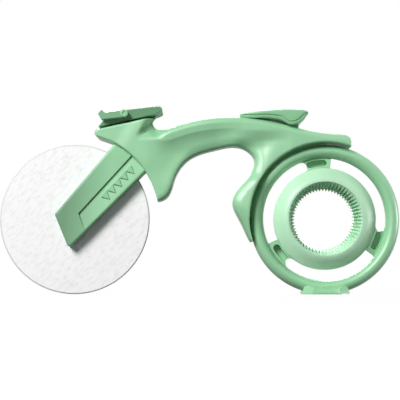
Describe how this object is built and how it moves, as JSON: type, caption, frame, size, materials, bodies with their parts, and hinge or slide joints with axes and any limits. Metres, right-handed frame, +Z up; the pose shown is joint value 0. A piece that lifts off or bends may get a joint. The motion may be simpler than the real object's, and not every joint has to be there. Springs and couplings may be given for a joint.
{
  "type": "pizza cutter",
  "caption": "Bicycle-shaped pizza cutter with a turning steel disc in a fork, a finger-arch frame handle, saddle, handlebar and a fixed rear ring whose toothed hub grips bottle caps.",
  "frame": {"origin": "on the table, midway between the left edge of the disc and the right edge of the rear ring, in the mid plane", "axes": "X from the disc to the rear ring, Y from the panel side to the screw side, Z up"},
  "size_m": [0.2, 0.0236, 0.0933],
  "materials": {
    "mint_plastic": "satin moulded",
    "blade_steel": "brushed",
    "screw_steel": "bright zinc",
    "washer_nylon": "natural"
  },
  "bodies": {
    "tool": {"frame_front_shell": "mint_plastic", "frame_rear_shell": "mint_plastic", "fork_front_arm": "mint_plastic", "fork_rear_arm": "mint_plastic", "handlebar_stem": "mint_plastic", "front_horn": "mint_plastic", "rear_horn": "mint_plastic", "bar_rivet": "mint_plastic", "saddle": "mint_plastic", "seat_post": "mint_plastic", "wheel_ring": "mint_plastic", "cap_grip": "mint_plastic", "stand_foot": "mint_plastic", "frame_screws": "screw_steel", "axle_screw": "screw_steel", "grip_screws": "screw_steel", "foot_screws": "screw_steel", "axle_sleeve": "screw_steel", "front_washer": "washer_nylon", "rear_washer": "washer_nylon"},
    "disc": {"blade": "blade_steel"}
  },
  "joints": [
    {"name": "blade_spin", "type": "hinge", "parent": "tool", "child": "disc", "pos_m": [-0.0625, 0, 0.0375], "axis": [0, 1, 0], "continuous": true}
  ]
}
